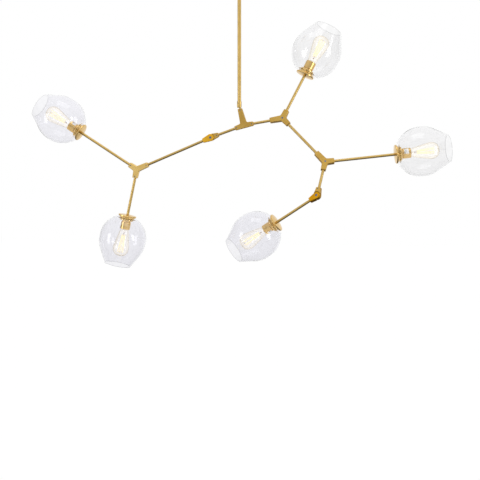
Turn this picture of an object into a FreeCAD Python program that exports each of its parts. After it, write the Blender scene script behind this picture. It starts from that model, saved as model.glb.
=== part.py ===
import FreeCAD, Part
import math
import os
from FreeCAD import Placement, Rotation, Vector

# Branch chandelier: a stem hangs from a ceiling canopy and carries a swivel. Below the swivel a
# T-shaped casting splits into two arms, which fork again at three Y-shaped castings and end in
# five open glass globes. A lap knuckle in the left arm and one in the lower right arm let
# those branches swing.
# Frame: origin on the ceiling at the stem's axis, +Z up, +X to the right, -Y towards the viewer.
# Every arm has a frame of its own: x runs outwards along the arm, z comes out of the flat face.
# Lengths are in millimetres, angles in degrees.

# Ceiling fitting
canopy_radius = 60.0
canopy_depth = 26.0
canopy_wall = 1.2
canopy_corner = 6.0
canopy_taper = 4.0
bracket_end_gap = 4.8
bracket_width = 24.0
bracket_sheet = 2.0
bracket_drop = 8.0
bracket_slope = 4.0
bracket_bend = 1.0
slot_width = 5.0
slot_length = 16.0
slot_margin = 4.0
nipple_radius = 5.0
nipple_wall = 1.4
nipple_above = 6.0
nipple_grip = 12.0
nut_across = 16.0
nut_height = 3.0
collar_radius = 11.0
collar_height = 14.0
collar_lip = 2.0
collar_round = 3.0
terminal_gap = 3.0
terminal_length = 13.0
terminal_width = 22.0
terminal_height = 10.0
terminal_hole_radius = 1.8
terminal_hole_pitch = 6.5

# Stem and swivel
drop_to_swivel = 440.0
stem_radius = 6.0
stem_wall = 2.0
ball_radius = 5.5
swivel_radius = 7.5
swivel_body_height = 16.0
swivel_ring_height = 5.0
swivel_ring_taper = 0.5
swivel_neck_radius = 2.75
swivel_wire_radius = 1.8
stem_grip = 8.0
swivel_tilt = 14.5
tilt_each_way = 18.0
neck_play_angle = 8.0

# Rods and their cables
rod_radius = 4.5
rod_wall = 1.4
rod_grip = 12.0
cable_radius = 2.8

# Castings that join the rods
casting_front = 8.0
cover_thickness = 2.0
cover_inset = 0.4
casting_chamfer = 1.0
t_top_arm = 56.0
t_side_arm = 31.5
t_end_width = 14.0
t_top_root_width = 22.0
t_side_root_width = 18.0
t_side_angle = 85.0
y_long_arm = 42.5
y_short_arm = 29.5
y_end_width = 16.5
y_root_width = 20.0
y_fork_angle = 55.0
web_radius = 5.0
end_corner = 1.6
splice_radius = 7.5
splice_depth = 11.0
boss_radius = 2.8
boss_gap = 2.0
cover_screw_radius = 1.5
cover_screw_length = 7.5
cover_head_radius = 3.0
grub_radius = 2.0
grub_inset = 5.0
grub_recess = 0.4
hex_key_radius = 1.1
hex_key_depth = 1.2
screw_tip_gap = 1.0
straight_angle = 6.0

# Lap knuckles
knuckle_length = 28.0
knuckle_radius = 12.0
knuckle_end_width = 14.0
knuckle_half = 7.0
shoulder_radius = 13.2
lap_gap = 0.5
pivot_radius = 2.5
pivot_head_radius = 4.0
pivot_head_height = 3.0
washer_radius = 4.8
washer_thickness = 0.8
wire_ring_inner = 5.6
wire_ring_outer = 9.6
wire_ring_depth = 2.6

# Where the branches go: hub to hub distances, knuckle and twist angles
swivel_to_t = 64.5
t_to_left_knuckle = 120.0
left_knuckle_angle = 3.0
left_knuckle_to_y1 = 277.0
y1_to_lamp_1 = 234.0
y1_to_lamp_2 = 162.0
t_to_y2 = 130.0
y2_twist_angle = -12.0
y2_to_lamp_3 = 161.0
y2_to_y3 = 205.0
y3_twist_angle = -14.0
y3_to_lamp_4 = 231.0
y3_to_right_knuckle = 119.0
right_knuckle_twist_angle = 31.0
right_knuckle_angle = -53.0
right_knuckle_to_lamp_5 = 161.0

# How far short of a rod's end its cable stops, and how deep the flange's rod stop lies
cable_short = 1.0
rod_stop = 1.0

# Lampholder, measured along the lamp's axis from the middle of the flange's rim
flange_radius = 30.5
flange_rim = 3.0
flange_back = 5.0
flange_bevel = 1.0
flange_centre_radius = 8.0
flange_seat_radius = 24.5
flange_seat = 7.0
holder_boss_radius = 17.0
holder_boss_end = 18.0
holder_neck_radius = 14.0
cup_start = 21.0
cup_end = 46.0
cup_radius = 16.8
cup_wall = 1.0
cup_corner = 2.0
spigot_radius = 6.0
spigot_length = 5.0
ring_radius = 22.0
ring_height = 8.0
ring_bevel = 2.5
insulator_wall = 1.7
insulator_floor = 7.0
insulator_recess = 3.0
insulator_corner = 1.2
spigot_gap = 0.5
shell_wall = 0.8
shell_floor_hole = 8.0
contact_radius = 4.0
contact_height = 1.5
lamp_cap_radius = 13.3
lamp_cap_end = 47.0
lamp_cap_taper = 4.0
lamp_cap_bore = 6.5
screw_clearance = 0.3

# Glass globe with an open mouth
globe_radius = 80.0
globe_waist = 8.0
globe_wall = 2.5
globe_shoulder_angle = 42.0
globe_shoulder_middle = 79.0
globe_shoulder_fillet = 12.0
globe_mouth_angle = 28.5
globe_mouth = 172.0
mouth_lip_radius = 1.1

# Bulb
bulb_radius = 27.5
bulb_wall = 0.8
bulb_neck_radius = 11.6
bulb_neck_rise = 1.0
bulb_tip = 140.5
filament_start = 67.0
filament_end = 128.0
filament_legs = 6
filament_radius = 0.5
filament_inner = 4.0
filament_outer = 9.0
filament_stem_radius = 5.0
filament_stem_tip = 1.5

# Corner radii of turned pieces
turned_edge = 1.0
small_edge = 0.8
fine_edge = 0.5
rolled_edge = 0.3

# Clearances, and how close two points count as one
fit_gap = 0.05
running_gap = 0.1
same_place = 1e-6

origin = Vector(0, 0, 0)
x_axis = Vector(1, 0, 0)
y_axis = Vector(0, 1, 0)
z_axis = Vector(0, 0, 1)
rod_bore_radius = rod_radius - rod_wall
stem_bore_radius = stem_radius - stem_wall
nipple_bore_radius = nipple_radius - nipple_wall
casting_back = casting_front - cover_thickness
bracket_end = canopy_radius - canopy_wall - bracket_end_gap
slot_middle = bracket_end - slot_margin - slot_length / 2
bracket_heel = slot_middle - slot_length / 2 - slot_margin
slot_spacing = 2 * slot_middle
splice_start = boss_radius + boss_gap
parts = {}


def turned(axis, degrees):
    return Placement(origin, Rotation(axis, degrees))


def shifted(x, y=0.0, z=0.0):
    return Placement(Vector(x, y, z), Rotation())


def placed(shape, frame):
    return shape.transformed(frame.toMatrix(), True)


def cylinder_x(radius, start, end):
    return Part.makeCylinder(radius, end - start, Vector(start, 0, 0), x_axis)


def cylinder_z(radius, bottom, top, x=0.0, y=0.0):
    return Part.makeCylinder(radius, top - bottom, Vector(x, y, bottom), z_axis)


def rounded_wire(corners):
    """Closed outline through (x, y, radius) corners, each rounded by a tangent arc."""
    ways_in = []
    ways_out = []
    arcs = []
    for index, (x, y, radius) in enumerate(corners):
        here = Vector(x, y, 0)
        before = Vector(corners[index - 1][0], corners[index - 1][1], 0) - here
        after_corner = corners[(index + 1) % len(corners)]
        after = Vector(after_corner[0], after_corner[1], 0) - here
        before.normalize()
        after.normalize()
        if radius <= 0:
            ways_in.append(here)
            ways_out.append(here)
            arcs.append(None)
            continue
        half = before.getAngle(after) / 2
        reach = radius / math.tan(half)
        middle_way = before + after
        middle_way.normalize()
        ways_in.append(here + before * reach)
        ways_out.append(here + after * reach)
        middle = here + middle_way * (radius / math.sin(half) - radius)
        arcs.append(Part.Arc(ways_in[-1], middle, ways_out[-1]).toShape())
    edges = []
    for index in range(len(corners)):
        if arcs[index]:
            edges.append(arcs[index])
        start = ways_out[index]
        end = ways_in[(index + 1) % len(corners)]
        if (end - start).Length > same_place:
            edges.append(Part.makeLine(start, end))
    return Part.Wire(edges)


def lathe(corners):
    """Solid of revolution about x from (distance, radius, corner radius) corners."""
    return Part.Face(rounded_wire(corners)).revolve(origin, x_axis, 360)


def lathe_z(corners):
    """The same about z, from (radius, height, corner radius) corners."""
    flat = Part.Face(rounded_wire(corners))
    flat.rotate(origin, x_axis, 90)
    return flat.revolve(origin, z_axis, 360)


def plate(outline, bottom, top):
    face = Part.Face(outline)
    face.translate(Vector(0, 0, bottom))
    return face.extrude(Vector(0, 0, top - bottom))


def chamfer_rim(shape, height, size):
    """Chamfers every edge that lies in the plane z = height."""
    rim = [e for e in shape.Edges if all(abs(v.Z - height) < same_place for v in e.Vertexes)]
    return shape.makeChamfer(size, rim)


def hexagon(across_flats, bottom, top):
    radius = across_flats / math.sqrt(3)
    points = [Vector(radius, 0, 0)]
    for corner in range(1, 7):
        angle = math.radians(60 * corner)
        points.append(Vector(radius * math.cos(angle), radius * math.sin(angle), 0))
    return plate(Part.makePolygon(points), bottom, top)


def add(name, solids, frame=None):
    """Adds solids to a node, placed by a frame."""
    for solid in solids:
        parts.setdefault(name, []).append(placed(solid, frame) if frame else solid)


# Frames of the branches
swivel = Placement(Vector(0, 0, -drop_to_swivel), Rotation(-z_axis, x_axis, -y_axis, "XYZ"))
hanging = swivel * turned(z_axis, swivel_tilt)
t_hub = hanging * shifted(swivel_to_t)
left_way = t_hub * turned(z_axis, -t_side_angle)
left_pivot = left_way * shifted(t_to_left_knuckle)
left_out = left_pivot * turned(z_axis, left_knuckle_angle)
y1_hub = left_out * shifted(left_knuckle_to_y1)
way_1 = y1_hub * turned(z_axis, -y_fork_angle)
way_2 = y1_hub * turned(z_axis, y_fork_angle)
right_way = t_hub * turned(z_axis, t_side_angle)
y2_hub = right_way * shifted(t_to_y2) * turned(x_axis, y2_twist_angle)
way_3 = y2_hub * turned(z_axis, y_fork_angle)
y2_lower_way = y2_hub * turned(z_axis, -y_fork_angle)
y3_hub = y2_lower_way * shifted(y2_to_y3) * turned(x_axis, y3_twist_angle)
way_4 = y3_hub * turned(z_axis, y_fork_angle)
y3_lower_way = y3_hub * turned(z_axis, -y_fork_angle)
right_pivot = y3_lower_way * shifted(y3_to_right_knuckle) * turned(x_axis, right_knuckle_twist_angle)
right_out = right_pivot * turned(z_axis, right_knuckle_angle)
lamp_frames = {
    1: way_1 * shifted(y1_to_lamp_1),
    2: way_2 * shifted(y1_to_lamp_2),
    3: way_3 * shifted(y2_to_lamp_3),
    4: way_4 * shifted(y3_to_lamp_4),
    5: right_out * shifted(right_knuckle_to_lamp_5),
}


# Ceiling fitting: bracket, nipple, nuts, canopy, collar and terminal block
def ceiling_bracket():
    bend = bracket_heel - bracket_slope
    top = -bracket_drop
    half_profile = [
        (bend, top, bracket_bend), (bracket_heel, 0, bracket_bend), (bracket_end, 0, 0),
        (bracket_end, -bracket_sheet, 0), (bracket_heel + bracket_sheet / 2, -bracket_sheet, bracket_bend),
        (bend + bracket_sheet / 2, top - bracket_sheet, bracket_bend),
    ]
    outline = half_profile + [(-x, y, radius) for x, y, radius in half_profile[::-1]]
    strip = plate(rounded_wire(outline), -bracket_width / 2, bracket_width / 2)
    strip.rotate(origin, x_axis, 90)
    strip = strip.cut(cylinder_z(nipple_radius + fit_gap, top - 2 * bracket_sheet, 0))
    for side in (-1, 1):
        strip = strip.cut(screw_slot(side * slot_middle))
    return strip


def screw_slot(middle):
    reach = (slot_length - slot_width) / 2
    left = middle - reach
    right = middle + reach
    half = slot_width / 2
    wire = Part.Wire([
        Part.makeLine(Vector(left, half, 0), Vector(right, half, 0)),
        Part.Arc(Vector(right, half, 0), Vector(right + half, 0, 0), Vector(right, -half, 0)).toShape(),
        Part.makeLine(Vector(right, -half, 0), Vector(left, -half, 0)),
        Part.Arc(Vector(left, -half, 0), Vector(left - half, 0, 0), Vector(left, half, 0)).toShape(),
    ])
    return plate(wire, -2 * bracket_sheet, bracket_sheet)


def canopy():
    inner = canopy_radius - canopy_wall
    floor = canopy_wall - canopy_depth
    shell = lathe_z([
        (nipple_radius + fit_gap, -canopy_depth, 0),
        (canopy_radius - canopy_taper, -canopy_depth, canopy_corner), (canopy_radius, 0, 0),
        (inner, 0, 0), (inner - canopy_taper, floor, canopy_corner - canopy_wall),
        (nipple_radius + fit_gap, floor, 0),
    ])
    return shell


stem_top = -canopy_depth - collar_height
nipple_top = -bracket_drop + nipple_above
nipple_end = stem_top - nipple_grip
bracket_face = -bracket_drop - bracket_sheet
stem_end = -drop_to_swivel + swivel_body_height - stem_grip

nipple = cylinder_z(nipple_radius, nipple_end, nipple_top)
nipple = nipple.cut(cylinder_z(nipple_bore_radius, nipple_end, nipple_top))
upper_nut = hexagon(nut_across, -bracket_drop, -bracket_drop + nut_height)
lower_nut = hexagon(nut_across, bracket_face - nut_height, bracket_face)
nut_bore = cylinder_z(nipple_radius + fit_gap, bracket_face - nut_height, 0)

collar = lathe_z([
    (nipple_radius + fit_gap, stem_top, 0), (stem_radius + collar_lip, stem_top, turned_edge),
    (collar_radius, stem_top + collar_height / 2, collar_round), (collar_radius, -canopy_depth, turned_edge),
    (nipple_radius + fit_gap, -canopy_depth, 0),
])

terminal_start = nut_across / math.sqrt(3) + terminal_gap
terminal = Part.makeBox(
    terminal_length, terminal_width, terminal_height,
    Vector(terminal_start, -terminal_width / 2, bracket_face - terminal_height),
)
for row in (-1, 0, 1):
    wire_hole = Part.makeCylinder(
        terminal_hole_radius, terminal_length,
        Vector(terminal_start, row * terminal_hole_pitch, bracket_face - terminal_height / 2), x_axis,
    )
    terminal = terminal.cut(wire_hole)

add("ceiling_bracket", [ceiling_bracket()])
add("threaded_nipple", [nipple])
add("nipple_nut", [upper_nut.cut(nut_bore), lower_nut.cut(nut_bore)])
add("canopy", [canopy()])
add("canopy_collar", [collar])
add("terminal_block", [terminal])

# Stem with its cable
stem = cylinder_z(stem_radius, stem_end, stem_top)
stem = stem.cut(cylinder_z(stem_bore_radius, stem_end, stem_top))
stem = stem.cut(cylinder_z(nipple_radius + fit_gap, nipple_end, stem_top))
stem_cable_radius = nipple_bore_radius - screw_clearance
add("stem", [stem])
add("stem_cable", [cylinder_z(stem_cable_radius, stem_end, nipple_top)])

# Swivel: the body and ring hold a ball, which has a neck and a spigot for the T casting.
# Its own frame has x pointing down from the ball's centre.
seat = Part.makeSphere(ball_radius + running_gap)
swivel_body = lathe([
    (-swivel_body_height, 0, 0), (-swivel_body_height, swivel_radius, turned_edge),
    (0, swivel_radius, 0), (0, 0, 0),
])
stem_socket = cylinder_x(stem_radius + fit_gap, -swivel_body_height, stem_grip - swivel_body_height)
swivel_body = swivel_body.cut(stem_socket)
swivel_body = swivel_body.cut(cylinder_x(stem_bore_radius, -swivel_body_height, -ball_radius / 2)).cut(seat)
flare = swivel_ring_height * math.tan(math.radians(tilt_each_way + neck_play_angle))
ring_mouth = Part.makeCone(
    swivel_neck_radius, swivel_neck_radius + flare, swivel_ring_height, origin, x_axis,
)
swivel_ring = lathe([
    (0, 0, 0), (0, swivel_radius, 0),
    (swivel_ring_height, swivel_radius - swivel_ring_taper, small_edge), (swivel_ring_height, 0, 0),
])
swivel_ring = swivel_ring.cut(seat).cut(ring_mouth)
lock_screw_height = -ball_radius / 2
lock_screw_way = Part.makeCylinder(
    cover_screw_radius, swivel_radius, Vector(lock_screw_height, 0, 0), -y_axis,
)
swivel_body = swivel_body.cut(lock_screw_way)
lock_screw_start = math.sqrt((ball_radius + running_gap) ** 2 - lock_screw_height ** 2)
lock_screw = Part.makeCylinder(
    cover_screw_radius - fit_gap, swivel_radius - lock_screw_start,
    Vector(lock_screw_height, -lock_screw_start, 0), -y_axis,
)
lock_screw = lock_screw.cut(seat)
add("swivel_body", [swivel_body], swivel)
add("swivel_ring", [swivel_ring], swivel)
add("swivel_lock_screw", [lock_screw], swivel)

t_socket_end = swivel_to_t - t_top_arm
ball = Part.makeSphere(ball_radius)
ball = ball.fuse(cylinder_x(swivel_neck_radius, 0, t_socket_end))
ball = ball.fuse(cylinder_x(rod_radius, t_socket_end, t_socket_end + rod_grip))
ball = ball.cut(cylinder_x(swivel_wire_radius, -ball_radius, t_socket_end + rod_grip))
add("swivel_ball", [ball.removeSplitter()], hanging)


# Castings: flat hubs whose arms grip the rods, with a screwed cover over the wire joints
def casting_outline(arms, inset):
    """Outline round tapered arms given as (direction, length, end width, root width)."""
    corners = []
    for index, (direction, length, end_width, root_width) in enumerate(arms):
        frame = turned(z_axis, direction)
        tip = length - inset
        for side in (-1, 1):
            corner = frame.multVec(Vector(tip, side * (end_width / 2 - inset), 0))
            corners.append((corner.x, corner.y, end_corner))
        after = arms[(index + 1) % len(arms)]
        meeting = web_corner(arms[index], after, inset)
        if meeting:
            corners.append(meeting)
    return rounded_wire(corners)


def web_corner(arm, after, inset):
    """Where one arm's left edge meets the right edge of the arm after it."""
    points = []
    ways = []
    for (direction, length, end_width, root_width), side in ((arm, 1), (after, -1)):
        frame = turned(z_axis, direction)
        root = frame.multVec(Vector(0, side * (root_width / 2 - inset), 0))
        end = frame.multVec(Vector(length, side * (end_width / 2 - inset), 0))
        points.append(root)
        ways.append((end - root).normalize())
    across = ways[0].x * ways[1].y - ways[0].y * ways[1].x
    if abs(across) < math.sin(math.radians(straight_angle)):
        return None
    between = points[1] - points[0]
    distance = (between.x * ways[1].y - between.y * ways[1].x) / across
    meeting = points[0] + ways[0] * distance
    return (meeting.x, meeting.y, web_radius)


def grub_screw(bottom, top, x):
    screw = cylinder_z(grub_radius - fit_gap, bottom, top, x)
    return screw.cut(cylinder_z(hex_key_radius, (bottom + top) / 2, top, x))


def casting(arms, cover_side):
    """Body, cover, cover screw and grub screws, with the cover at z = cover_side * casting_front."""
    body = plate(casting_outline(arms, 0), -casting_front, casting_back)
    body = chamfer_rim(body, -casting_front, casting_chamfer)
    cavity = cylinder_z(splice_radius, casting_back - splice_depth, casting_back)
    body = body.cut(cavity.cut(cylinder_z(boss_radius, casting_back - splice_depth, casting_back)))
    body = body.cut(cylinder_z(cover_screw_radius, casting_back - cover_screw_length, casting_back))
    grubs = []
    for direction, length, end_width, root_width in arms:
        way = turned(z_axis, direction)
        socket = cylinder_x(rod_radius + fit_gap, length - rod_grip, length)
        wire_way = cylinder_x(rod_bore_radius, splice_start, length - rod_grip)
        grub_way = cylinder_z(grub_radius, -casting_front, 0, length - grub_inset)
        for tool in (socket, wire_way, grub_way):
            body = body.cut(placed(tool, way))
        screw = grub_screw(rod_radius + fit_gap, casting_front - grub_recess, grub_inset - length)
        screw.rotate(origin, y_axis, 180)
        grubs.append(placed(screw, way))
    cover = plate(casting_outline(arms, cover_inset), casting_back, casting_front)
    cover = chamfer_rim(cover, casting_front, casting_chamfer)
    head_height = cover_head_radius - cover_screw_radius
    head_bottom = casting_front - head_height
    countersink = Part.makeCone(
        cover_screw_radius, cover_head_radius + fit_gap, head_height, Vector(0, 0, head_bottom), z_axis,
    )
    cover = cover.cut(cylinder_z(cover_screw_radius, casting_back, casting_front)).cut(countersink)
    head = Part.makeCone(
        cover_screw_radius - fit_gap, cover_head_radius, head_height, Vector(0, 0, head_bottom), z_axis,
    )
    shank_start = casting_back - cover_screw_length + screw_tip_gap
    screw = head.fuse(cylinder_z(cover_screw_radius - fit_gap, shank_start, head_bottom))
    key_way = cylinder_z(hex_key_radius, casting_front - hex_key_depth, casting_front)
    screw = screw.cut(key_way).removeSplitter()
    solids = [body, cover, screw] + grubs
    if cover_side < 0:
        solids = [solid.mirror(origin, z_axis) for solid in solids]
    return solids[0], solids[1], solids[2], solids[3:]


t_arms = [
    (-t_side_angle, t_side_arm, t_end_width, t_side_root_width),
    (t_side_angle, t_side_arm, t_end_width, t_side_root_width),
    (180, t_top_arm, t_end_width, t_top_root_width),
]
y_arms = [
    (-y_fork_angle, y_short_arm, y_end_width, y_root_width),
    (y_fork_angle, y_short_arm, y_end_width, y_root_width),
    (180, y_long_arm, y_end_width, y_root_width),
]
castings = [
    ("t_connector", t_hub, t_arms, -1, "main"),
    ("y2_connector", y2_hub, y_arms, 1, "main"),
    ("y3_connector", y3_hub, y_arms, 1, "main"),
    ("y1_connector", y1_hub, y_arms, -1, "left"),
]
for name, frame, arms, cover_side, branch in castings:
    body, cover, screw, grubs = casting(arms, cover_side)
    add(name, [body], frame)
    add(branch + "_branch_cover", [cover], frame)
    add(branch + "_branch_screw", [screw] + grubs, frame)


# Lap knuckles: two halves with round laps, a wire ring between them and a shouldered pivot screw
def knuckle_outline():
    corner = Vector(-knuckle_length, knuckle_end_width / 2, 0)
    tangent = math.atan2(corner.y, corner.x) - math.acos(knuckle_radius / corner.Length)
    touch = Vector(knuckle_radius * math.cos(tangent), knuckle_radius * math.sin(tangent), 0)
    lower_touch = Vector(touch.x, -touch.y, 0)
    lower_corner = Vector(corner.x, -corner.y, 0)
    return Part.Wire([
        Part.makeLine(corner, touch),
        Part.Arc(touch, Vector(knuckle_radius, 0, 0), lower_touch).toShape(),
        Part.makeLine(lower_touch, lower_corner),
        Part.makeLine(lower_corner, corner),
    ])


def knuckle_half_body():
    """One half with its rod at -x and its lap below z = 0."""
    half = plate(knuckle_outline(), -knuckle_half, knuckle_half)
    half = chamfer_rim(half, -knuckle_half, casting_chamfer)
    half = chamfer_rim(half, knuckle_half, casting_chamfer)
    half = half.cut(cylinder_z(shoulder_radius, -lap_gap, knuckle_half))
    ring = cylinder_z(wire_ring_outer, -lap_gap - wire_ring_depth, 0)
    ring = ring.cut(cylinder_z(wire_ring_inner, -lap_gap - wire_ring_depth, 0))
    ring_middle = (wire_ring_inner + wire_ring_outer) / 2
    wire_way = cylinder_x(rod_bore_radius, -knuckle_length + rod_grip, -ring_middle)
    socket = cylinder_x(rod_radius + fit_gap, -knuckle_length, -knuckle_length + rod_grip)
    return half.cut(ring).cut(wire_way).cut(socket)


def knuckle_grub():
    screw = grub_screw(rod_radius + fit_gap, knuckle_half - grub_recess, grub_inset - knuckle_length)
    way = cylinder_z(grub_radius, 0, knuckle_half, grub_inset - knuckle_length)
    return screw, way


def pivot_screw():
    """Head flush in the front half, shank through to the thread in the back half."""
    head_top = knuckle_half - grub_recess
    head = cylinder_z(pivot_head_radius, knuckle_half - pivot_head_height, head_top)
    shank = cylinder_z(pivot_radius, -knuckle_half + screw_tip_gap, knuckle_half - pivot_head_height)
    socket = cylinder_z(2 * hex_key_radius, head_top - hex_key_depth, head_top)
    return head.fuse(shank).cut(socket).removeSplitter()


screw, grub_way = knuckle_grub()
knuckle_back = knuckle_half_body().cut(grub_way)
knuckle_back = knuckle_back.cut(cylinder_z(pivot_radius + fit_gap, -knuckle_half, 0))
knuckle_front = knuckle_half_body().cut(grub_way)
knuckle_front = knuckle_front.cut(cylinder_z(pivot_radius + running_gap, -knuckle_half, 0))
head_way_end = -knuckle_half + pivot_head_height + running_gap
knuckle_front = knuckle_front.cut(cylinder_z(pivot_head_radius + running_gap, -knuckle_half, head_way_end))
washer = cylinder_z(washer_radius, -washer_thickness / 2, washer_thickness / 2)
washer = washer.cut(cylinder_z(pivot_radius + running_gap, -washer_thickness / 2, washer_thickness / 2))
over = turned(y_axis, 180)
for side, pivot, out, branch in (
    ("left", left_pivot, left_out, "left_branch"),
    ("right", right_pivot, right_out, "lower_arm"),
):
    add("knuckle_back", [knuckle_back], pivot)
    add("main_branch_screw", [screw], pivot)
    add("knuckle_pivot_screw", [pivot_screw()], pivot)
    add(side + "_knuckle_front", [knuckle_front], out * over)
    add(branch + "_screw", [screw], out * over)
    add(branch + "_screw", [washer], out)


# Rods between the castings, each with a cable that ends inside the castings
def add_rod(node, frame, start, end):
    tube = cylinder_x(rod_radius, start, end).cut(cylinder_x(rod_bore_radius, start, end))
    add(node, [tube], frame)


def add_cable(node, frame, start, end):
    add(node, [cylinder_x(cable_radius, start, end)], frame)


rod_in_flange = flange_seat - rod_stop
knuckle_wire_end = knuckle_length - rod_grip + cable_short
y_out = y_short_arm - rod_grip
y_in = y_long_arm - rod_grip
t_out = t_side_arm - rod_grip
knuckle_seat = knuckle_length - rod_grip
spigot_end = cup_start + spigot_length
runs = [
    ("main", left_way, t_out, t_to_left_knuckle - knuckle_seat, t_to_left_knuckle - knuckle_wire_end),
    ("main", right_way, t_out, t_to_y2 - y_in, t_to_y2 - splice_start),
    ("main", way_3, y_out, y2_to_lamp_3 + rod_in_flange, y2_to_lamp_3 + spigot_end),
    ("main", y2_lower_way, y_out, y2_to_y3 - y_in, y2_to_y3 - splice_start),
    ("main", way_4, y_out, y3_to_lamp_4 + rod_in_flange, y3_to_lamp_4 + spigot_end),
    (
        "main", y3_lower_way, y_out, y3_to_right_knuckle - knuckle_seat,
        y3_to_right_knuckle - knuckle_wire_end,
    ),
    ("left", left_out, knuckle_seat, left_knuckle_to_y1 - y_in, left_knuckle_to_y1 - splice_start),
    ("left", way_1, y_out, y1_to_lamp_1 + rod_in_flange, y1_to_lamp_1 + spigot_end),
    ("left", way_2, y_out, y1_to_lamp_2 + rod_in_flange, y1_to_lamp_2 + spigot_end),
    (
        "lower", right_out, knuckle_seat, right_knuckle_to_lamp_5 + rod_in_flange,
        right_knuckle_to_lamp_5 + spigot_end,
    ),
]
for branch, frame, start, end, cable_end in runs:
    cable_start = knuckle_wire_end if start == knuckle_seat else splice_start
    group = "lower_arm" if branch == "lower" else branch + "_branch"
    add_rod(group + "_rod", frame, start, end)
    add_cable(group + "_cable", frame, cable_start, cable_end)


# Lamps: flange, clamping ring, cup, insulator, screw shell, globe and bulb
def lamp_flange():
    return lathe([
        (-flange_back, rod_radius + fit_gap, 0), (-flange_back, flange_centre_radius, turned_edge),
        (-flange_rim / 2 - flange_bevel, flange_radius - flange_bevel, turned_edge),
        (-flange_rim / 2, flange_radius, fine_edge), (flange_rim / 2, flange_radius, small_edge),
        (flange_seat, flange_seat_radius, fine_edge), (flange_seat, holder_boss_radius, 0),
        (holder_boss_end, holder_boss_radius, small_edge), (holder_boss_end, holder_neck_radius, fine_edge),
        (cup_start, holder_neck_radius, 0),
        (cup_start, spigot_radius, 0), (spigot_end, spigot_radius, 0), (spigot_end, rod_bore_radius, 0),
        (rod_in_flange, rod_bore_radius, 0), (rod_in_flange, rod_radius + fit_gap, 0),
    ])


def clamp_ring():
    start = flange_seat + globe_wall
    end = start + ring_height
    return lathe([
        (start, holder_boss_radius + fit_gap, 0), (start, ring_radius, small_edge),
        (end - ring_bevel, ring_radius, turned_edge), (end, ring_radius - ring_bevel, small_edge),
        (end, holder_boss_radius + fit_gap, 0),
    ])


def lamp_cup():
    inner = cup_radius - cup_wall
    return lathe([
        (cup_start, spigot_radius + fit_gap, 0), (cup_start, cup_radius, cup_corner),
        (cup_end, cup_radius, rolled_edge), (cup_end, inner, rolled_edge),
        (cup_start + cup_wall, inner, cup_corner - cup_wall),
        (cup_start + cup_wall, spigot_radius + fit_gap, 0),
    ])


insulator_start = cup_start + cup_wall
insulator_radius = cup_radius - cup_wall - fit_gap
insulator_bore = insulator_radius - insulator_wall
insulator_seat = insulator_start + insulator_floor
insulator_end = cup_end - insulator_recess
shell_radius = insulator_bore - fit_gap
shell_bore = lamp_cap_radius + screw_clearance
lamp_cap_start = insulator_seat + contact_height


def insulator():
    return lathe([
        (insulator_start, spigot_radius + fit_gap, 0), (insulator_start, insulator_radius, insulator_corner),
        (insulator_end, insulator_radius, 0), (insulator_end, insulator_bore, 0),
        (insulator_seat, insulator_bore, 0), (insulator_seat, 0, 0),
        (spigot_end + spigot_gap, 0, 0), (spigot_end + spigot_gap, spigot_radius + fit_gap, 0),
    ])


def screw_shell():
    tube = lathe([
        (insulator_seat, shell_floor_hole, 0), (insulator_seat, shell_radius, 0),
        (insulator_end, shell_radius, 0), (insulator_end, shell_bore, 0),
        (insulator_seat + shell_wall, shell_bore, 0), (insulator_seat + shell_wall, shell_floor_hole, 0),
    ])
    contact = cylinder_x(contact_radius, insulator_seat, lamp_cap_start)
    return [tube, contact]


def lamp_cap():
    bore = bulb_neck_radius + fit_gap
    floor = lamp_cap_start + lamp_cap_bore
    return lathe([
        (lamp_cap_start, 0, 0), (lamp_cap_start, contact_radius, 0),
        (lamp_cap_start + lamp_cap_taper, lamp_cap_radius, turned_edge),
        (lamp_cap_end, lamp_cap_radius, rolled_edge), (lamp_cap_end, bore, 0),
        (floor, bore, 0), (floor, 0, 0),
    ])


def globe():
    """Open globe: flat neck, sloping shoulder, waist and narrowing mouth, all of one wall."""
    shoulder = math.radians(globe_shoulder_angle)
    narrowing = math.radians(globe_mouth_angle)
    waist_end = globe_shoulder_middle + globe_waist

    def side(inset):
        radius = globe_radius - inset
        shoulder_corner = globe_shoulder_middle - radius * math.tan(shoulder / 2)
        mouth_corner = waist_end + radius * math.tan(narrowing / 2)
        neck = flange_seat + inset
        neck_corner = radius - (shoulder_corner - neck) * math.tan(shoulder)
        mouth_radius = radius - (globe_mouth - mouth_corner) * math.tan(narrowing)
        return [
            (neck, holder_boss_radius + fit_gap, 0), (neck, neck_corner, globe_shoulder_fillet - inset),
            (shoulder_corner, radius, radius), (mouth_corner, radius, radius),
            (globe_mouth, mouth_radius, mouth_lip_radius),
        ]

    return lathe(side(0) + side(globe_wall)[::-1])


def bulb_envelope():
    """Teardrop shell: straight neck, cone and round end."""
    neck_end = lamp_cap_end + bulb_neck_rise
    middle = bulb_tip - bulb_radius

    def side(inset):
        radius = bulb_radius - inset
        neck = bulb_neck_radius - inset
        distance = math.hypot(middle - neck_end, neck)
        slope = math.asin(radius / distance) - math.atan2(neck, middle - neck_end)
        tip = bulb_tip - inset
        tip_corner = neck + (tip - neck_end) * math.tan(slope)
        start = lamp_cap_start + lamp_cap_bore
        return [(start, neck, 0), (neck_end, neck, 0), (tip, tip_corner, radius), (tip, 0, 0)]

    return lathe(side(0) + side(bulb_wall)[::-1])


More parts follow.
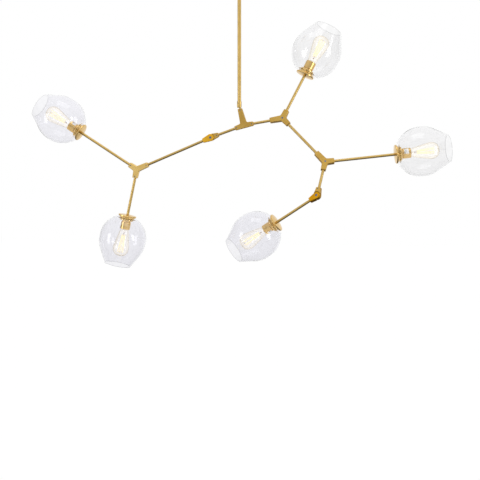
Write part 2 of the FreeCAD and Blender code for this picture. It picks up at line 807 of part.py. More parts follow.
def bulb_filament():
    """Glass stem with a cage of straight filament legs."""
    start = lamp_cap_start + lamp_cap_bore
    cage = lathe([
        (start, 0, 0), (start, filament_stem_radius, 0), (filament_start, filament_stem_tip, 0),
        (filament_end, filament_stem_tip / 2, 0), (filament_end, 0, 0),
    ])
    leg_run = filament_end - filament_start
    spread = filament_outer - filament_inner
    leg_way = Vector(leg_run, spread, 0)
    leg_foot = Vector(filament_start, filament_inner, 0)
    leg = Part.makeCylinder(filament_radius, leg_way.Length, leg_foot, leg_way)
    lower_spoke = Part.makeCylinder(filament_radius, filament_inner, Vector(filament_start, 0, 0), y_axis)
    upper_spoke = Part.makeCylinder(filament_radius, filament_outer, Vector(filament_end, 0, 0), y_axis)
    for index in range(filament_legs):
        way = turned(x_axis, index * 360 / filament_legs)
        for wire in (leg, lower_spoke, upper_spoke):
            cage = cage.fuse(placed(wire, way))
    return cage


pieces_of_lamp = [
    ("lamp_flange", [lamp_flange()]),
    ("lamp_ring", [clamp_ring()]),
    ("lamp_cup", [lamp_cup()]),
    ("lamp_insulator", [insulator()]),
    ("lamp_contact", screw_shell()),
    ("bulb_cap", [lamp_cap()]),
    ("bulb_envelope", [bulb_envelope()]),
    ("bulb_filament", [bulb_filament()]),
]
globe_solid = globe()
for number, branch in ((1, "left"), (2, "left"), (3, "main"), (4, "main"), (5, "lower")):
    for name, solids in pieces_of_lamp:
        add(branch + "_" + name, solids, lamp_frames[number])
    add("globe_" + str(number), [globe_solid], lamp_frames[number])

# One STEP file per node; a node of several solids has a plural name
os.makedirs("parts", exist_ok=True)
for name, solids in parts.items():
    shape = solids[0] if len(solids) == 1 else Part.makeCompound(solids)
    plural = "s" if len(solids) > 1 else ""
    shape.exportStep("parts/" + name + plural + ".step")
print(len(parts), "nodes,", sum(len(solids) for solids in parts.values()), "solids")
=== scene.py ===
import bpy
import bmesh
import math
from mathutils import Matrix, Vector, noise


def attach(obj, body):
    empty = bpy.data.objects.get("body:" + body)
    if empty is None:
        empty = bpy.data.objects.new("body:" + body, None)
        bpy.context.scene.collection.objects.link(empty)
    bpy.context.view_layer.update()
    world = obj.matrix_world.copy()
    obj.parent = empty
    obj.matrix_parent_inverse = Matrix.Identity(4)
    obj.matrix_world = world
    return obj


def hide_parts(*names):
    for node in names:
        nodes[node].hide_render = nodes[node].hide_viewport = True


# Branch chandelier: the gold rods and castings come from the frame. Built here are the blown
# globes, the lampholder cups with their windows, and the bulbs with their threads, glass stems
# and filament cages.
# Every length is in metres, every angle in degrees.

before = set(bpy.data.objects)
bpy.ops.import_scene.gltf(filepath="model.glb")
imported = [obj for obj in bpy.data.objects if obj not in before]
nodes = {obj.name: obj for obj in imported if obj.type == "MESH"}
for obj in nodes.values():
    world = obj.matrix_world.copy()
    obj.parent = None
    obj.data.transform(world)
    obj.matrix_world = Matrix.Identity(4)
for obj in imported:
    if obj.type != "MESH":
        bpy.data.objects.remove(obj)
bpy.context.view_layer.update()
print("frame loaded:", len(nodes), "nodes")

# Where the branches go, the same lengths as the metalwork
branches = {
    "dropToSwivel": 0.440, "tilt": 14.5, "swivelToT": 0.0645, "tSideAngle": 85.0, "forkAngle": 55.0,
    "tToLeftKnuckle": 0.120, "leftBend": 3.0, "leftKnuckleToY1": 0.277, "y1ToLamp1": 0.234,
    "y1ToLamp2": 0.162, "tToY2": 0.130, "y2Twist": -12.0, "y2ToLamp3": 0.161, "y2ToY3": 0.205,
    "y3Twist": -14.0, "y3ToLamp4": 0.231, "y3ToRightKnuckle": 0.119, "rightTwist": 31.0,
    "rightBend": -53.0, "rightKnuckleToLamp5": 0.161,
}


def turn(degrees, axis="Z"):
    return Matrix.Rotation(math.radians(degrees), 4, axis)


def along(distance):
    return Matrix.Translation((distance, 0, 0))


# In each frame x runs outwards along the arm and z comes out of the flat face
def branchFrames(b):
    swivel = Matrix(((0, 1, 0, 0), (0, 0, -1, 0), (-1, 0, 0, -b["dropToSwivel"]), (0, 0, 0, 1)))
    tHub = swivel @ turn(b["tilt"]) @ along(b["swivelToT"])
    leftOut = tHub @ turn(-b["tSideAngle"]) @ along(b["tToLeftKnuckle"]) @ turn(b["leftBend"])
    y1 = leftOut @ along(b["leftKnuckleToY1"])
    y2 = tHub @ turn(b["tSideAngle"]) @ along(b["tToY2"]) @ turn(b["y2Twist"], "X")
    y3 = y2 @ turn(-b["forkAngle"]) @ along(b["y2ToY3"]) @ turn(b["y3Twist"], "X")
    knuckle = y3 @ turn(-b["forkAngle"]) @ along(b["y3ToRightKnuckle"]) @ turn(b["rightTwist"], "X")
    return {
        1: y1 @ turn(-b["forkAngle"]) @ along(b["y1ToLamp1"]),
        2: y1 @ turn(b["forkAngle"]) @ along(b["y1ToLamp2"]),
        3: y2 @ turn(b["forkAngle"]) @ along(b["y2ToLamp3"]),
        4: y3 @ turn(b["forkAngle"]) @ along(b["y3ToLamp4"]),
        5: knuckle @ turn(b["rightBend"]) @ along(b["rightKnuckleToLamp5"]),
    }


lampFrames = branchFrames(branches)

# The lamps of each body, after the word that its pieces' names start with
lampsOfBodies = {
    "left_branch": ("left", (1, 2)),
    "main_branch": ("main", (3, 4)),
    "lower_arm": ("lower", (5,)),
}
bodyOfLamp = {number: body for body, (side, numbers) in lampsOfBodies.items() for number in numbers}
print("lamp frames ready")


# The frame's node for one kind of piece: its name is a plural where the body has more lamps
def nodeOf(side, kind, numbers):
    return side + "_" + kind + ("s" if len(numbers) > 1 else "")


def newObject(name, data):
    made = bpy.data.objects.new(name, data)
    bpy.context.scene.collection.objects.link(made)
    return made


def grey(level):
    return (level, level, level)


# Finishes: every one has its colour, gloss and grain from noise in the object's own space
def newFinish(name, sockets):
    finish = bpy.data.materials.new(name)
    finish.use_nodes = True
    shader = finish.node_tree.nodes["Principled BSDF"]
    for socket, value in sockets.items():
        shader.inputs[socket].default_value = value
    return finish, finish.node_tree, shader


# Links and values go to the node's sockets, the rest to the node itself
def addNode(tree, kind, links=None, values=None, **settings):
    node = tree.nodes.new(kind)
    for key, value in settings.items():
        setattr(node, key, value)
    for socket, value in (values or {}).items():
        node.inputs[socket].default_value = value
    for socket, source in (links or {}).items():
        tree.links.new(source, node.inputs[socket])
    return node


def objectSpace(tree):
    return addNode(tree, "ShaderNodeTexCoord").outputs["Object"]


def noiseIn(tree, space, scale, detail):
    texture = addNode(tree, "ShaderNodeTexNoise", {"Vector": space}, {"Scale": scale, "Detail": detail})
    return texture.outputs["Fac"]


# A number that wanders between low and high; the noise itself keeps mostly between 0.3 and 0.7
def noiseBetween(tree, space, scale, low, high, detail=4.0):
    spread = addNode(tree, "ShaderNodeMapRange", {"Value": noiseIn(tree, space, scale, detail)}, {
        "From Min": 0.3, "From Max": 0.7, "To Min": low, "To Max": high,
    })
    return spread.outputs["Result"]


def colourRamp(tree, source, marks):
    ramp = addNode(tree, "ShaderNodeValToRGB", {"Fac": source})
    while len(ramp.color_ramp.elements) < len(marks):
        ramp.color_ramp.elements.new(0.5)
    for mark, (position, colour) in zip(ramp.color_ramp.elements, marks):
        mark.position = position
        mark.color = (*colour, 1)
    return ramp.outputs["Color"]


def greyRamp(tree, source, marks):
    return colourRamp(tree, source, [(position, grey(level)) for position, level in marks])


# The two tones of a finish, drifting into each other
def twoTones(tree, space, look):
    drift = noiseIn(tree, space, look["toneScale"], detail=3.0)
    return colourRamp(tree, drift, ((0.35, look["light"]), (0.65, look["dark"])))


def multiplied(tree, first, second):
    both = addNode(
        tree, "ShaderNodeMix", {6: first, 7: second}, {"Factor": 1.0},
        data_type="RGBA", blend_type="MULTIPLY",
    )
    return both.outputs[2]


# Metal, plastic or ceramic: two close tones, uneven gloss and fine grain
def solidFinish(name, look, metallic, grainDetail):
    finish, tree, shader = newFinish(name, {"Metallic": metallic, "Coat Weight": look.get("coat", 0.0)})
    space = objectSpace(tree)
    tree.links.new(twoTones(tree, space, look), shader.inputs["Base Color"])
    gloss = noiseBetween(tree, space, look["glossScale"], look["roughLow"], look["roughHigh"])
    tree.links.new(gloss, shader.inputs["Roughness"])
    grain = noiseBetween(tree, space, look["grainScale"], 0.0, 1.0, grainDetail)
    bump = addNode(tree, "ShaderNodeBump", {"Height": grain}, {
        "Strength": look["grainStrength"], "Distance": look["grainDepth"],
    })
    tree.links.new(bump.outputs["Normal"], shader.inputs["Normal"])
    return finish


# Clear glass whose colour deepens where the wall is seen edge on, with faint streaks along the
# lamp's axis and, on a globe, a darker cut lip. The turned pieces carry their place in the lamp
# as an attribute.
def glassFinish(name, look):
    finish, tree, shader = newFinish(name, {
        "Transmission Weight": 1.0, "Roughness": 0.0, "IOR": look["ior"],
        "Emission Color": (*look.get("glow", grey(1)), 1), "Emission Strength": look.get("glowStrength", 0.0),
    })
    edge = addNode(tree, "ShaderNodeLayerWeight", values={"Blend": 0.5})
    tint = colourRamp(tree, edge.outputs["Facing"], look["tints"])
    lampSpace = addNode(tree, "ShaderNodeAttribute", attribute_name="lampSpace").outputs["Vector"]
    drawnOut = addNode(tree, "ShaderNodeMapping", {"Vector": lampSpace}, {"Scale": look["streakScale"]})
    drift = noiseIn(tree, drawnOut.outputs["Vector"], scale=1.0, detail=1.0)
    width = look["streakWidth"]
    streaks = greyRamp(tree, drift, ((0.5 - width, 1), (0.5, look["streakTint"]), (0.5 + width, 1)))
    colour = multiplied(tree, tint, streaks)
    if "lipStart" in look:
        outwards = addNode(tree, "ShaderNodeSeparateXYZ", {"Vector": lampSpace}).outputs["X"]
        nearLip = addNode(tree, "ShaderNodeMapRange", {"Value": outwards}, {
            "From Min": look["lipStart"], "From Max": look["lipEnd"],
        })
        lip = greyRamp(tree, nearLip.outputs["Result"], ((0.0, 1), (1.0, look["lipTint"])))
        colour = multiplied(tree, colour, lip)
    tree.links.new(colour, shader.inputs["Base Color"])
    return finish


def glowFinish(name, look):
    finish, tree, shader = newFinish(name, {
        "Roughness": look["rough"], "Emission Strength": look["glowStrength"],
    })
    glow = twoTones(tree, objectSpace(tree), look)
    tree.links.new(glow, shader.inputs["Base Color"])
    tree.links.new(glow, shader.inputs["Emission Color"])
    return finish


metals = {
    "castGold": {
        "light": (0.62, 0.40, 0.100), "dark": (0.57, 0.355, 0.082), "toneScale": 45.0,
        "glossScale": 160.0, "roughLow": 0.44, "roughHigh": 0.51,
        "grainScale": 900.0, "grainStrength": 0.10, "grainDepth": 0.00008,
    },
    # Painted light: a lighter copy of the cast gold, for the Y1 casting and its cover
    "castGoldPaintedLit": {
        "light": (0.84, 0.60, 0.22), "dark": (0.78, 0.54, 0.18), "toneScale": 45.0,
        "glossScale": 160.0, "roughLow": 0.42, "roughHigh": 0.48,
        "grainScale": 900.0, "grainStrength": 0.10, "grainDepth": 0.00008,
    },
    # Painted light and shade: a lit and a shaded copy of one knuckle gold, lighter for the left knuckle front
    # and darker for the right
    "knuckleGoldPaintedLit": {
        "light": (0.88, 0.50, 0.045), "dark": (0.80, 0.44, 0.030), "toneScale": 60.0,
        "glossScale": 160.0, "roughLow": 0.32, "roughHigh": 0.40,
        "grainScale": 900.0, "grainStrength": 0.08, "grainDepth": 0.00006,
    },
    "knuckleGoldPaintedShade": {
        "light": (0.64, 0.32, 0.010), "dark": (0.57, 0.27, 0.006), "toneScale": 60.0,
        "glossScale": 160.0, "roughLow": 0.32, "roughHigh": 0.40,
        "grainScale": 900.0, "grainStrength": 0.08, "grainDepth": 0.00006,
    },
    "drawnGold": {
        "light": (0.62, 0.43, 0.150), "dark": (0.57, 0.39, 0.125), "toneScale": 25.0,
        "glossScale": 60.0, "roughLow": 0.33, "roughHigh": 0.36,
        "grainScale": 500.0, "grainStrength": 0.02, "grainDepth": 0.00002,
    },
    "turnedGold": {
        "light": (0.76, 0.51, 0.19), "dark": (0.70, 0.46, 0.155), "toneScale": 30.0,
        "glossScale": 80.0, "roughLow": 0.13, "roughHigh": 0.17,
        "grainScale": 500.0, "grainStrength": 0.02, "grainDepth": 0.00002,
    },
    "zincSteel": {
        "light": (0.42, 0.45, 0.50), "dark": (0.30, 0.32, 0.36), "toneScale": 300.0,
        "glossScale": 260.0, "roughLow": 0.28, "roughHigh": 0.45,
        "grainScale": 1500.0, "grainStrength": 0.08, "grainDepth": 0.00006,
    },
    "blueSteel": {
        "light": (0.20, 0.24, 0.33), "dark": (0.12, 0.15, 0.22), "toneScale": 400.0,
        "glossScale": 260.0, "roughLow": 0.25, "roughHigh": 0.38,
        "grainScale": 1500.0, "grainStrength": 0.05, "grainDepth": 0.00004,
    },
    "capNickel": {
        "light": (0.72, 0.66, 0.56), "dark": (0.60, 0.54, 0.44), "toneScale": 200.0,
        "glossScale": 260.0, "roughLow": 0.16, "roughHigh": 0.28,
        "grainScale": 1500.0, "grainStrength": 0.05, "grainDepth": 0.00004,
    },
}
plastics = {
    "glazedCeramic": {
        "light": (0.93, 0.92, 0.89), "dark": (0.90, 0.88, 0.84), "toneScale": 90.0,
        "glossScale": 60.0, "roughLow": 0.12, "roughHigh": 0.22,
        "grainScale": 240.0, "grainStrength": 0.03, "grainDepth": 0.0001,
        "coat": 0.6,
    },
    "cableSheath": {
        "light": (0.035, 0.032, 0.030), "dark": (0.022, 0.020, 0.018), "toneScale": 120.0,
        "glossScale": 60.0, "roughLow": 0.42, "roughHigh": 0.58,
        "grainScale": 900.0, "grainStrength": 0.15, "grainDepth": 0.0001,
    },
    "terminalPlastic": {
        "light": (0.80, 0.79, 0.74), "dark": (0.74, 0.73, 0.67), "toneScale": 80.0,
        "glossScale": 60.0, "roughLow": 0.35, "roughHigh": 0.5,
        "grainScale": 700.0, "grainStrength": 0.1, "grainDepth": 0.0001,
    },
    "glassPress": {
        "light": (0.72, 0.46, 0.34), "dark": (0.60, 0.34, 0.24), "toneScale": 400.0,
        "glossScale": 200.0, "roughLow": 0.15, "roughHigh": 0.30,
        "grainScale": 700.0, "grainStrength": 0.05, "grainDepth": 0.0001,
    },
}


# The three blown glasses differ in their tints alone
def blownGlass(middle, edge):
    return {
        "tints": ((0.0, middle), (0.72, middle), (0.90, edge), (1.0, edge)), "ior": 1.38,
        "streakScale": (7.0, 42.0, 42.0), "streakWidth": 0.030, "streakTint": 0.95,
        "lipStart": 0.1695, "lipEnd": 0.1708, "lipTint": 0.78,
    }


glasses = {
    "blownGlassCool": blownGlass((0.912, 0.910, 0.934), (0.93, 0.93, 0.95)),
    "blownGlassPale": blownGlass((0.935, 0.933, 0.955), (0.94, 0.94, 0.96)),
    "blownGlassClear": blownGlass((0.948, 0.947, 0.950), (0.95, 0.95, 0.96)),
    "bulbGlass": {
        "tints": (
            (0.0, (1.0, 0.995, 0.985)), (0.26, (0.99, 0.975, 0.94)), (0.55, (0.95, 0.90, 0.80)),
            (0.82, (0.72, 0.63, 0.52)), (1.0, (0.30, 0.25, 0.20)),
        ),
        "ior": 1.45, "streakScale": (14.0, 150.0, 150.0), "streakWidth": 0.05, "streakTint": 0.94,
        "glow": (1.0, 0.98, 0.93), "glowStrength": 0.035,
    },
    "stemGlass": {
        "tints": ((0.0, (0.99, 0.98, 0.96)), (0.5, (0.97, 0.95, 0.92)), (1.0, (0.75, 0.70, 0.64))),
        "ior": 1.30, "streakScale": (30.0, 300.0, 300.0), "streakWidth": 0.05, "streakTint": 0.9,
        "glow": (1.0, 0.96, 0.90), "glowStrength": 0.05,
    },
}
glows = {
    "glowingWire": {
        "light": (1.0, 0.80, 0.20), "dark": (1.0, 0.70, 0.12), "toneScale": 90.0, "rough": 0.4,
        "glowStrength": 1.0,
    },
}
finishes = {name: solidFinish(name, look, metallic=1.0, grainDetail=6.0) for name, look in metals.items()}
finishes.update({
    name: solidFinish(name, look, metallic=0.0, grainDetail=4.0) for name, look in plastics.items()
})
finishes.update({name: glassFinish(name, look) for name, look in glasses.items()})
finishes.update({name: glowFinish(name, look) for name, look in glows.items()})
print("finishes:", len(finishes))

# Which finish each node of the frame gets: the first start that fits its name, or else the first
# ending that fits its singular
nodeStarts = [
    # The Y1 casting and its cover get a lighter copy of the cast gold, and the knuckle fronts a lit and a
    # shaded copy of one gold: painted light and shade
    ("y1_connector", "castGoldPaintedLit"), ("left_branch_cover", "castGoldPaintedLit"), ("t_connector", "castGold"),
    ("y2_connector", "castGold"), ("y3_connector", "castGold"), ("main_branch_covers", "castGold"),
    ("knuckle_backs", "castGold"), ("left_knuckle_front", "knuckleGoldPaintedLit"),
    ("right_knuckle_front", "knuckleGoldPaintedShade"), ("canopy", "drawnGold"), ("stem_cable", "cableSheath"),
    ("stem", "drawnGold"), ("swivel_lock_screw", "blueSteel"), ("swivel", "drawnGold"),
    ("terminal_block", "terminalPlastic"), ("ceiling_bracket", "zincSteel"), ("nipple_nuts", "zincSteel"),
    ("threaded_nipple", "zincSteel"), ("knuckle_pivot_screws", "blueSteel"), ("globe", "blownGlassClear"),
]
nodeEndings = [
    ("rod", "drawnGold"), ("cable", "cableSheath"), ("screw", "blueSteel"), ("lamp_flange", "turnedGold"),
    ("lamp_ring", "turnedGold"), ("lamp_cup", "turnedGold"), ("insulator", "glazedCeramic"),
    ("contact", "turnedGold"), ("bulb_cap", "capNickel"), ("envelope", "bulbGlass"),
    ("filament", "capNickel"),
]
for name, node in nodes.items():
    matches = [finish for start, finish in nodeStarts if name.startswith(start)]
    matches += [finish for ending, finish in nodeEndings if name.removesuffix("s").endswith(ending)]
    node.data.materials.clear()
    node.data.materials.append(finishes[matches[0]])
print("finishes set on the frame's nodes")


# Turned shapes: an outline of (distance along the axis, radius) points goes round the lamp's x
# axis. Here its corners (distance, radius, rounding) become points, with arcs for the roundings.
def roundedOutline(corners, arcStep=7.5):
    outline = []
    for index, (distance, radius, rounding) in enumerate(corners):
        here = Vector((distance, radius))
        if rounding <= 0:
            outline.append(here)
            continue
        back = (Vector(corners[index - 1][:2]) - here).normalized()
        ahead = (Vector(corners[(index + 1) % len(corners)][:2]) - here).normalized()
        half = back.angle(ahead) / 2
        middle = here + (back + ahead).normalized() * (rounding / math.sin(half))
        arm = here + back * (rounding / math.tan(half)) - middle
        other = here + ahead * (rounding / math.tan(half)) - middle
        way = 1 if arm.x * other.y - arm.y * other.x > 0 else -1
        sweep = math.pi - 2 * half
        steps = max(2, math.ceil(math.degrees(sweep) / arcStep))
        for step in range(steps + 1):
            angle = way * sweep * step / steps
            cosine, sine = math.cos(angle), math.sin(angle)
            outline.append(middle + Vector((arm.x * cosine - arm.y * sine, arm.x * sine + arm.y * cosine)))
    return outline


# Long straight runs are divided, so that a shape that wanders has points to wander with
def divided(outline, longest):
    points = []
    for index, here in enumerate(outline):
        ahead = outline[(index + 1) % len(outline)]
        parts = max(1, math.ceil((ahead - here).length / longest))
        points += [here.lerp(ahead, part / parts) for part in range(parts)]
    return points


onAxis = 1e-7    # an outline point this near to the axis becomes one pole


# Closed ring of faces round x. The function push(spot, outline point, angle) may move each spot,
# and each corner keeps its own place in the lamp.
def turnedMesh(shape, outline, segments, place, push=None):
    area = sum(a.x * b.y - b.x * a.y for a, b in zip(outline, outline[1:] + outline[:1]))
    if area > 0:
        outline = outline[::-1]
    layers = shape.verts.layers.float_vector
    lampSpace = layers.get("lampSpace") or layers.new("lampSpace")

    def cornerAt(spot):
        corner = shape.verts.new(place @ spot)
        corner[lampSpace] = spot
        return corner

    rings = []
    for point in outline:
        if point.y < onAxis:
            rings.append([cornerAt(Vector((point.x, 0, 0)))] * segments)
            continue
        ring = []
        for segment in range(segments):
            angle = 2 * math.pi * segment / segments
            spot = Vector((point.x, point.y * math.cos(angle), point.y * math.sin(angle)))
            ring.append(cornerAt(push(spot, point, angle) if push else spot))
        rings.append(ring)
    for index, ring in enumerate(rings):
        ahead = rings[(index + 1) % len(rings)]
        for segment in range(segments):
            after = (segment + 1) % segments
            corners = [ring[segment], ring[after], ahead[after], ahead[segment]]
            unique = [corner for k, corner in enumerate(corners) if corner not in corners[:k]]
            if len(unique) > 2:
                shape.faces.new(unique)


def finishedPiece(name, shape, finish, body, replaced=(), sharpAngle=35.0):
    mesh = bpy.data.meshes.new(name)
    shape.to_mesh(mesh)
    shape.free()
    mesh.materials.append(finishes[finish])
    for face in mesh.polygons:
        face.use_smooth = True
    mesh.set_sharp_from_angle(angle=math.radians(sharpAngle))
    piece = newObject(name, mesh)
    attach(piece, body)
    if replaced:
        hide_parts(*replaced)


# The same turned shape in each of a body's lamps, as one mesh
def turnedInLamps(numbers, outline, segments, push=None):
    shape = bmesh.new()
    for number in numbers:
        turnedMesh(shape, outline, segments, lampFrames[number], push)
    return shape


# Mouth-blown globes: the inner wall wanders a little and has shallow streaks along the axis, but
# is calm near the neck and the mouth
globeGlass = {
    "radius": 0.080, "wall": 0.0025, "neck": 0.007, "neckRadius": 0.01705, "shoulderMiddle": 0.079,
    "waist": 0.008, "shoulderAngle": 50.0, "mouthAngle": 28.5, "mouth": 0.172, "shoulderRounding": 0.016,
    "lip": 0.0011, "segments": 240, "arcStep": 1.5, "longestRun": 0.004, "sharpAngle": 50.0,
    "wander": 0.0002, "wanderSize": 0.045, "streakDepth": 0.00002, "streakWidth": 0.009,
    "streakLength": 0.070, "calmNeck": 0.022, "calmMouth": 0.006, "fade": 0.012, "seedStep": 11.3,
    "finishes": {
        1: "blownGlassPale", 2: "blownGlassCool", 3: "blownGlassClear", 4: "blownGlassClear",
        5: "blownGlassCool",
    },
}


# One wall of the globe, from the flat neck over the rounded shoulder and two wide arcs to the lip
def globeSide(g, inset):
    radius = g["radius"] - inset
    shoulder = math.radians(g["shoulderAngle"])
    narrowing = math.radians(g["mouthAngle"])
    shoulderCorner = g["shoulderMiddle"] - radius * math.tan(shoulder / 2)
    mouthCorner = g["shoulderMiddle"] + g["waist"] + radius * math.tan(narrowing / 2)
    neck = g["neck"] + inset
    neckCorner = radius - (shoulderCorner - neck) * math.tan(shoulder)
    mouthRadius = radius - (g["mouth"] - mouthCorner) * math.tan(narrowing)
    return [
        (neck, g["neckRadius"], 0), (neck, neckCorner, g["shoulderRounding"] - inset),
        (shoulderCorner, radius, radius), (mouthCorner, radius, radius), (g["mouth"], mouthRadius, g["lip"]),
    ]


# How deep a point lies under the outer wall
def depthInWall(g, point):
    middle = min(max(point.x, g["shoulderMiddle"]), g["shoulderMiddle"] + g["waist"])
    away = Vector((point.x - middle, point.y))
    lean = math.atan2(away.x, away.y)
    lean = min(max(lean, -math.radians(g["shoulderAngle"])), math.radians(g["mouthAngle"]))
    return g["radius"] - away.x * math.sin(lean) - away.y * math.cos(lean)


def buildGlobes(g):
    corners = globeSide(g, 0) + globeSide(g, g["wall"])[::-1]
    outline = divided(roundedOutline(corners, g["arcStep"]), g["longestRun"])
    centre = Vector((g["shoulderMiddle"] + g["waist"] / 2, 0, 0))
    calmEnd = g["mouth"] - g["calmMouth"]

    for number, place in lampFrames.items():
        seed = Vector((g["seedStep"] * number, 0, 0))

        def blown(spot, point, angle):
            calm = min((point.x - g["calmNeck"]) / g["fade"], (calmEnd - point.x) / g["fade"], 1)
            if calm <= 0 or depthInWall(g, point) < g["wall"] / 2:
                return spot
            across = g["radius"] / g["streakWidth"]
            streak = noise.noise(seed + Vector((
                point.x / g["streakLength"], math.cos(angle) * across, math.sin(angle) * across,
            )))
            drift = noise.noise(seed + spot / g["wanderSize"])
            shift = calm * (drift * g["wander"] + streak * g["streakDepth"])
            return spot + (spot - centre).normalized() * shift

        shape = bmesh.new()
        turnedMesh(shape, outline, g["segments"], place, blown)
        finishedPiece(
            "glass_globe_" + str(number), shape, g["finishes"][number], bodyOfLamp[number],
            ["globe_" + str(number)], g["sharpAngle"],
        )
    print("globes blown:", len(lampFrames), "with", len(outline), "points to an outline")


# Lampholder cups: each has one window that shows the insulator. Towards says which way the
# window looks, with x to the right, y to the back and z up.
cups = {
    "start": 0.0210, "end": 0.0460, "radius": 0.0168, "wall": 0.0010, "bottomBore": 0.0061, "corner": 0.0020,
    "rim": 0.0004, "segments": 120, "windowStart": 0.0248, "windowEnd": 0.0392, "windowAngle": 69.0,
    "towards": {
        1: (0.4, -0.3, 0.9), 2: (0.3, 1.0, 0.0), 3: (-0.3, 1.0, 0.2), 4: (0.0, -0.87, 0.50),
        5: (0.5, -0.2, -0.85),
    },
}


# The faces of both walls between the window's edges go, and the two walls are joined round it
def cutWindow(shape, faces, c):
    lampSpace = shape.verts.layers.float_vector["lampSpace"]
    middle = (c["windowStart"] + c["windowEnd"]) / 2
    halfLength = (c["windowEnd"] - c["windowStart"]) / 2
    halfAngle = math.radians(c["windowAngle"] / 2)

    def inWindow(face):
        spot = sum((corner[lampSpace] for corner in face.verts), Vector()) / len(face.verts)
        return abs(spot.x - middle) < halfLength and abs(math.atan2(spot.z, spot.y)) < halfAngle

    opened = [face for face in faces if inWindow(face)]
    rest = set(faces) - set(opened)
    edges = {edge for face in opened for edge in face.edges if not rest.isdisjoint(edge.link_faces)}
    bmesh.ops.delete(shape, geom=opened, context="FACES_ONLY")
    bmesh.ops.bridge_loops(shape, edges=list(edges))
    loose = [edge for edge in shape.edges if not edge.link_faces]
    bmesh.ops.delete(shape, geom=loose, context="EDGES")
    bare = [corner for corner in shape.verts if not corner.link_faces]
    bmesh.ops.delete(shape, geom=bare, context="VERTS")


def buildCups(c):
    inner = c["radius"] - c["wall"]
    outline = roundedOutline([
        (c["start"], c["bottomBore"], 0), (c["start"], c["radius"], c["corner"]),
        (c["windowStart"], c["radius"], 0), (c["windowEnd"], c["radius"], 0),
        (c["end"], c["radius"], c["rim"]), (c["end"], inner, c["rim"]),
        (c["windowEnd"], inner, 0), (c["windowStart"], inner, 0),
        (c["start"] + c["wall"], inner, c["corner"] - c["wall"]),
        (c["start"] + c["wall"], c["bottomBore"], 0),
    ])
    for body, (side, numbers) in lampsOfBodies.items():
        shape = bmesh.new()
        for number in numbers:
            place = lampFrames[number]
            looks = place.to_3x3().inverted() @ Vector(c["towards"][number])
            turned = place @ turn(math.degrees(math.atan2(looks.z, looks.y)), "X")
            before = set(shape.faces)
            turnedMesh(shape, outline, c["segments"], turned)
            cutWindow(shape, [face for face in shape.faces if face not in before], c)
        finishedPiece(
            side + "_windowed_cups", shape, "turnedGold", body,
            [nodeOf(side, "lamp_cup", numbers)],
        )
    print("lampholder cups ready")


# Bulbs: the teardrop envelope
envelope = {
    "radius": 0.0275, "wall": 0.0008, "neckRadius": 0.0116, "neckStart": 0.0370, "neckEnd": 0.0475,
    "flareEnd": 0.0510, "flareRadius": 0.0136, "widest": 0.1120, "tip": 0.1405, "sideCurve": 1.1,
    "domeCurve": 2.4, "sideSteps": 24, "sideCrowding": 1.5, "domeSteps": 16, "segments": 96,
}


# One wall of the envelope: straight neck, short flare outside the cap, nearly straight sides and
# a flattened dome. The inner wall is the same curve with every radius and the tip drawn in.
def envelopeSide(e, inset):
    radius = e["radius"] - inset
    neck = e["neckRadius"] - inset
    dome = e["tip"] - inset - e["widest"]
    sides = e["widest"] - e["neckEnd"]
    points = [Vector((e["neckStart"], neck))]
    for step in range(e["sideSteps"] + 1):
        distance = e["neckEnd"] + sides * (step / e["sideSteps"]) ** e["sideCrowding"]
        left = (e["widest"] - distance) / sides
        side = radius - (e["radius"] - e["flareRadius"]) * left ** e["sideCurve"]
        flare = min(1, (distance - e["neckEnd"]) / (e["flareEnd"] - e["neckEnd"]))
        points.append(Vector((distance, neck + (side - neck) * math.sin(flare * math.pi / 2))))
    power = 2 / e["domeCurve"]
    for step in range(1, e["domeSteps"] + 1):
        angle = math.pi / 2 * step / e["domeSteps"]
        points.append(Vector((
            e["widest"] + dome * math.sin(angle) ** power, radius * max(0, math.cos(angle)) ** power,
        )))
    points[-1].y = 0
    return points


def buildEnvelopes(e):
    outline = envelopeSide(e, 0) + envelopeSide(e, e["wall"])[::-1]
    for body, (side, numbers) in lampsOfBodies.items():
        finishedPiece(
            side + "_bulb_glass", turnedInLamps(numbers, outline, e["segments"]), "bulbGlass", body,
            [nodeOf(side, "bulb_envelope", numbers)],
        )
    print("bulb envelopes ready")


# The bulb's cap. Its screw thread is a groove whose depth depends on the distance along the axis
# and the angle round it.
screwCap = {
    "radius": 0.0133, "start": 0.0305, "taper": 0.004, "end": 0.047, "contactRadius": 0.004,
    "contactRounding": 0.0004, "shoulderRounding": 0.001, "rimRounding": 0.0003, "neckGap": 0.00005,
    "threadPitch": 0.0036, "threadDepth": 0.0008, "threadSkin": 0.0005, "plainRim": 0.002,
    "pointsPerPitch": 8, "segments": 48,
}


def buildCaps(c, e):
    shoulder = c["start"] + c["taper"]
    bore = e["neckRadius"] + c["neckGap"]
    outline = divided(roundedOutline([
        (c["start"], 0, 0), (c["start"], c["contactRadius"], c["contactRounding"]),
        (shoulder, c["radius"], c["shoulderRounding"]), (c["end"], c["radius"], c["rimRounding"]),
        (c["end"], bore, 0), (e["neckStart"], bore, 0), (e["neckStart"], 0, 0),
    ]), c["threadPitch"] / c["pointsPerPitch"])

    def threaded(spot, point, angle):
        onThread = shoulder < point.x < c["end"] - c["plainRim"]
        if not onThread or point.y < c["radius"] - c["threadSkin"]:
            return spot
        wave = 0.5 - 0.5 * math.cos(2 * math.pi * point.x / c["threadPitch"] - angle)
        shrink = 1 - wave * c["threadDepth"] / c["radius"]
        return Vector((spot.x, spot.y * shrink, spot.z * shrink))

    for body, (side, numbers) in lampsOfBodies.items():
        finishedPiece(
            side + "_threaded_caps", turnedInLamps(numbers, outline, c["segments"], threaded), "capNickel",
            body, [nodeOf(side, "bulb_cap", numbers)],
        )
    print("bulb caps threaded")


